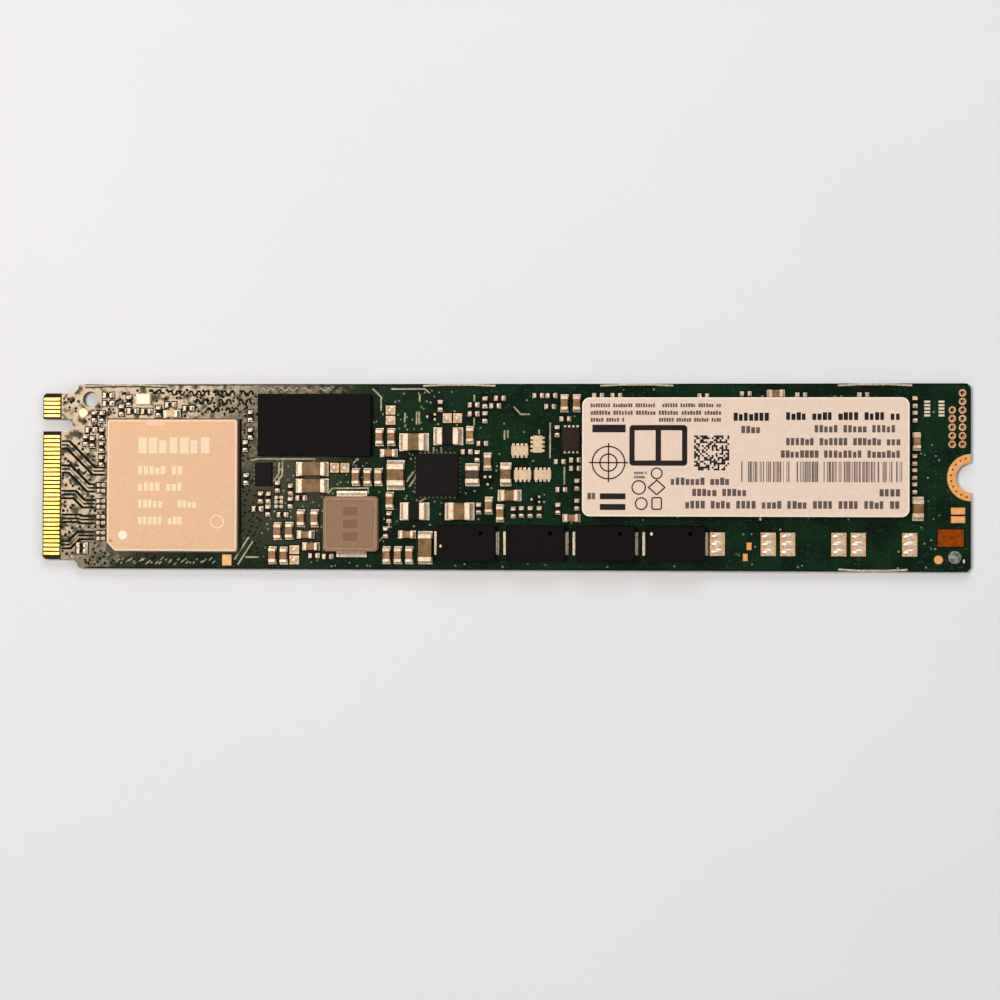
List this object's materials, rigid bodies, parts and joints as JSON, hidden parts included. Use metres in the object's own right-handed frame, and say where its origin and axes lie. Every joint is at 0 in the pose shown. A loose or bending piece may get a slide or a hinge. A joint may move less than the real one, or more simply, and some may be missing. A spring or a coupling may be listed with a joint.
{
  "type": "solid-state drive card",
  "caption": "Bare M.2 solid-state drive card: green board with gold edge contacts, a lidded controller, memory, labelled flash and a row of black capacitors.",
  "frame": {"origin": "centre of the underside of the card, on the plane it rests on", "axes": "+X from the edge connector to the screw end, +Y across the card, +Z out of the component side"},
  "size_m": [0.11, 0.022, 0.0022],
  "materials": {
    "board": "glossy green solder mask",
    "gold_contact": "polished gold plating",
    "gold_pad": "gold plating over copper",
    "copper": "bare copper under mask",
    "solder": "bright solder",
    "tinned_ends": "matte tin",
    "lid_metal": "matte nickel-plated lid",
    "substrate": "laminate",
    "mould_compound": "black epoxy mould compound",
    "label_paper": "matte printed paper",
    "inductor_powder": "pressed metal powder",
    "ceramic_brown": "fired ceramic",
    "ferrite_dark": "dark ferrite and resistor glaze",
    "ceramic_pale": "pale ceramic",
    "crystal_metal": "bright metal lid"
  },
  "bodies": {
    "root": {"boot_memory_leads": "solder", "boot_memory_package": "mould_compound", "capacitor_0201_bodies": "ceramic_brown", "capacitor_0201_ends": "tinned_ends", "capacitor_0603_bodies": "ceramic_brown", "capacitor_0603_ends": "tinned_ends", "capacitor_0805_bodies": "ceramic_brown", "capacitor_0805_ends": "tinned_ends", "capacitor_1206_bodies": "ceramic_brown", "capacitor_1206_ends": "tinned_ends", "chip_inductor_brown_bodies": "ceramic_brown", "chip_inductor_brown_ends": "tinned_ends", "chip_inductor_dark_bodies": "ferrite_dark", "chip_inductor_dark_ends": "tinned_ends", "chip_inductor_small_bodies": "ferrite_dark", "chip_inductor_small_ends": "tinned_ends", "circuit_board": "board", "component_lands": "solder", "controller_lid": "lid_metal", "controller_solder_balls": "solder", "controller_substrate": "substrate", "copper_patch": "copper", "crystal_base": "ceramic_pale", "crystal_lid": "crystal_metal", "edge_contacts_bottom": "gold_contact", "edge_contacts_top": "gold_contact", "filter_chip_bodies": "ceramic_pale", "filter_chip_ends": "tinned_ends", "flash_left_package": "mould_compound", "flash_left_solder_balls": "solder", "flash_right_package": "mould_compound", "flash_right_solder_balls": "solder", "header_barrels": "gold_pad", "inductor_core": "inductor_powder", "inductor_terminals": "tinned_ends", "label": "label_paper", "load_switch_leads": "solder", "load_switch_package": "mould_compound", "memory_package": "mould_compound", "memory_solder_balls": "solder", "polymer_capacitor_1": "mould_compound", "polymer_capacitor_2": "mould_compound", "polymer_capacitor_3": "mould_compound", "polymer_capacitor_4": "mould_compound", "polymer_capacitor_leads": "tinned_ends", "power_manager_leads": "solder", "power_manager_package": "mould_compound", "reserve_lands": "solder", "resistor_0402_bodies": "ferrite_dark", "resistor_0402_ends": "tinned_ends", "resistor_array_bodies": "ceramic_pale", "resistor_array_ends": "tinned_ends", "screw_pad_bottom": "gold_pad", "screw_pad_top": "gold_pad", "test_pads": "gold_pad", "transistor_bodies": "mould_compound", "transistor_leads": "tinned_ends"}
  },
  "joints": []
}
